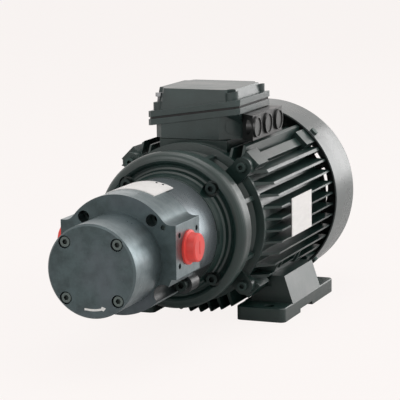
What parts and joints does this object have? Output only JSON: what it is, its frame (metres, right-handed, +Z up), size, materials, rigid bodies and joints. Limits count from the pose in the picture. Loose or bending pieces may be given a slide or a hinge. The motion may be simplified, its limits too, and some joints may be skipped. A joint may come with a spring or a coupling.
{
  "type": "electric motor gear pump unit",
  "caption": "Foot-mounted finned electric motor close-coupled to a round internal gear pump with side port pads and a terminal box on top.",
  "frame": {"origin": "centre of the bounding box at foot level: below the shaft axis, halfway along the unit", "axes": "+Y along the shaft from the pump to the fan, +X towards the side with the cable entries, +Z up"},
  "size_m": [0.179, 0.438, 0.2105],
  "materials": {
    "pump_iron": "dark machined cast iron, lightly mottled",
    "machined_iron": "bright turned cast iron",
    "motor_paint": "very dark green-black satin paint on aluminium castings",
    "cowl_paint": "satin painted sheet steel",
    "screw_steel": "blackened and zinc-plated steel",
    "gear_steel": "ground steel",
    "core_steel": "stacked electrical sheet",
    "copper": "varnished copper wire",
    "rotor_aluminium": "die-cast",
    "seal_rubber": "black rubber",
    "red_plastic": "red moulded plastic",
    "black_plastic": "black moulded plastic",
    "brass": "bright brass",
    "bronze": "bearing bronze",
    "plate_aluminium": "bare satin label plate"
  },
  "bodies": {
    "unit": {"pump_cover": "pump_iron", "gear_housing": "pump_iron", "bearing_housing": "machined_iron", "adapter": "motor_paint", "cover_screws": "screw_steel", "housing_screws": "screw_steel", "hub_screws": "screw_steel", "adapter_bolts": "screw_steel", "locating_pin": "screw_steel", "cover_seal_ring": "seal_rubber", "side_plate": "bronze", "front_bush": "bronze", "rear_bush": "bronze", "shaft_seal": "seal_rubber", "crescent": "gear_steel", "pump_label_plate": "plate_aluminium", "front_endshield": "motor_paint", "front_endshield_bolts": "screw_steel", "motor_frame": "motor_paint", "stator_core": "core_steel", "stator_windings": "copper", "bearing_outer_rings": "gear_steel", "rear_endshield": "motor_paint", "rear_endshield_bolts": "screw_steel", "fan_cowl": "cowl_paint", "fan_guard": "cowl_paint", "cowl_screws": "screw_steel", "foot_right": "motor_paint", "foot_left": "motor_paint", "foot_bolts": "screw_steel", "nameplate": "plate_aluminium", "terminal_box": "motor_paint", "terminal_box_bolts": "screw_steel", "box_gasket": "seal_rubber", "terminal_box_lid": "motor_paint", "lid_screws": "screw_steel", "cable_entry_plugs": "black_plastic", "cable_entry_block": "black_plastic", "terminal_board": "black_plastic", "terminal_studs": "brass", "terminal_nuts": "brass", "terminal_links": "brass"},
    "rotor": {"pinion_shaft": "gear_steel", "coupling_hub_pump": "gear_steel", "coupling_spider": "seal_rubber", "coupling_hub_motor": "gear_steel", "motor_shaft": "gear_steel", "shaft_key": "gear_steel", "rotor_core": "core_steel", "rotor_end_rings": "rotor_aluminium", "bearing_inner_rings": "gear_steel", "bearing_balls": "gear_steel", "cooling_fan": "black_plastic"},
    "ring": {"ring_gear": "gear_steel"},
    "plug_right": {"port_plug_right": "red_plastic"},
    "plug_left": {"port_plug_left": "red_plastic"}
  },
  "joints": [
    {"name": "rotor_spin", "type": "hinge", "parent": "unit", "child": "rotor", "pos_m": [0, 0, 0.09], "axis": [0, -1, 0], "continuous": true},
    {"name": "ring_spin", "type": "hinge", "parent": "unit", "child": "ring", "pos_m": [0, 0, 0.0855], "axis": [0, -1, 0], "continuous": true},
    {"name": "plug_right_pull", "type": "slide", "parent": "unit", "child": "plug_right", "axis": [1, 0, 0], "range_m": [0, 0.025]},
    {"name": "plug_left_pull", "type": "slide", "parent": "unit", "child": "plug_left", "axis": [-1, 0, 0], "range_m": [0, 0.025]}
  ],
  "couplings": [
    {"joint": "ring_spin", "follows": "rotor_spin", "ratio": 0.73913}
  ]
}
